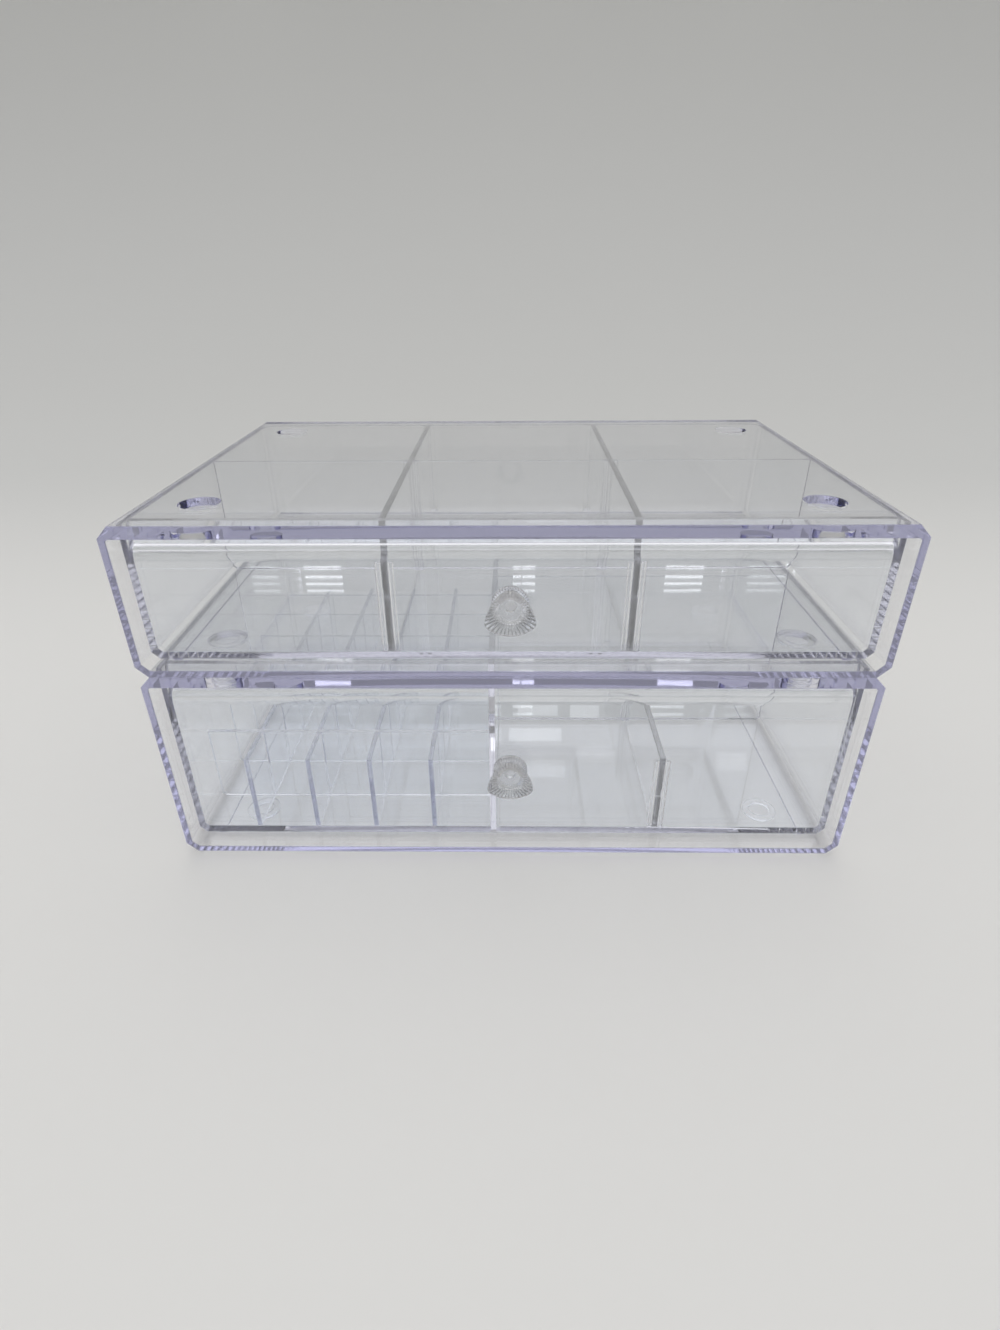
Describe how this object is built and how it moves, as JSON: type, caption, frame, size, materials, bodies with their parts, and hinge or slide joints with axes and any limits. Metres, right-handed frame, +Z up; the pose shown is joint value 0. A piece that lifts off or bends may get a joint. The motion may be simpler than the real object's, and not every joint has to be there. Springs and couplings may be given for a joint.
{
  "type": "makeup drawer organizer",
  "caption": "Clear stacking cosmetics boxes with pull-out drawers, flared knobs, removable dividers and a low grid of cells.",
  "frame": {"origin": "on the table, under the middle of the stack", "axes": "+X right, +Y to the closed back, +Z up; the drawers pull out along -Y"},
  "size_m": [0.32, 0.2074, 0.1685],
  "materials": {
    "case_clear": "polished, clear with a violet edge tint",
    "drawer_clear": "polished, clear with a violet edge tint",
    "grid_clear": "polished, clear with a blue edge tint",
    "divider_grey": "polished, clear with grey edges",
    "knob_clear": "polished, clear",
    "foot_clear": "polished, clear"
  },
  "bodies": {
    "lower_case": {"lower_case": "case_clear", "lower_foot_front_left": "foot_clear", "lower_foot_front_right": "foot_clear", "lower_foot_back_left": "foot_clear", "lower_foot_back_right": "foot_clear"},
    "lower_drawer": {"lower_drawer": "drawer_clear", "lower_knob": "knob_clear", "lower_divider_front": "divider_grey", "lower_divider_back": "divider_grey", "grid_long_1": "grid_clear", "grid_long_2": "grid_clear", "grid_long_3": "grid_clear", "grid_long_4": "grid_clear", "grid_cross_1": "grid_clear", "grid_cross_2": "grid_clear", "grid_cross_3": "grid_clear", "grid_cross_4": "grid_clear", "grid_cross_5": "grid_clear", "grid_cross_6": "grid_clear"},
    "upper_case": {"upper_case": "case_clear", "upper_foot_front_left": "foot_clear", "upper_foot_front_right": "foot_clear", "upper_foot_back_left": "foot_clear", "upper_foot_back_right": "foot_clear"},
    "upper_drawer": {"upper_drawer": "drawer_clear", "upper_knob": "knob_clear", "upper_divider_front_left": "divider_grey", "upper_divider_front_right": "divider_grey", "upper_divider_back_left": "divider_grey", "upper_divider_back_right": "divider_grey"}
  },
  "joints": [
    {"name": "lower_drawer_slide", "type": "slide", "parent": "lower_case", "child": "lower_drawer", "axis": [0, -1, 0], "range_m": [0, 0.15]},
    {"name": "upper_unit_lift", "type": "slide", "parent": "lower_case", "child": "upper_case", "axis": [0, 0, 1], "range_m": [0, 0.06]},
    {"name": "upper_drawer_slide", "type": "slide", "parent": "upper_case", "child": "upper_drawer", "axis": [0, -1, 0], "range_m": [0, 0.15]}
  ]
}
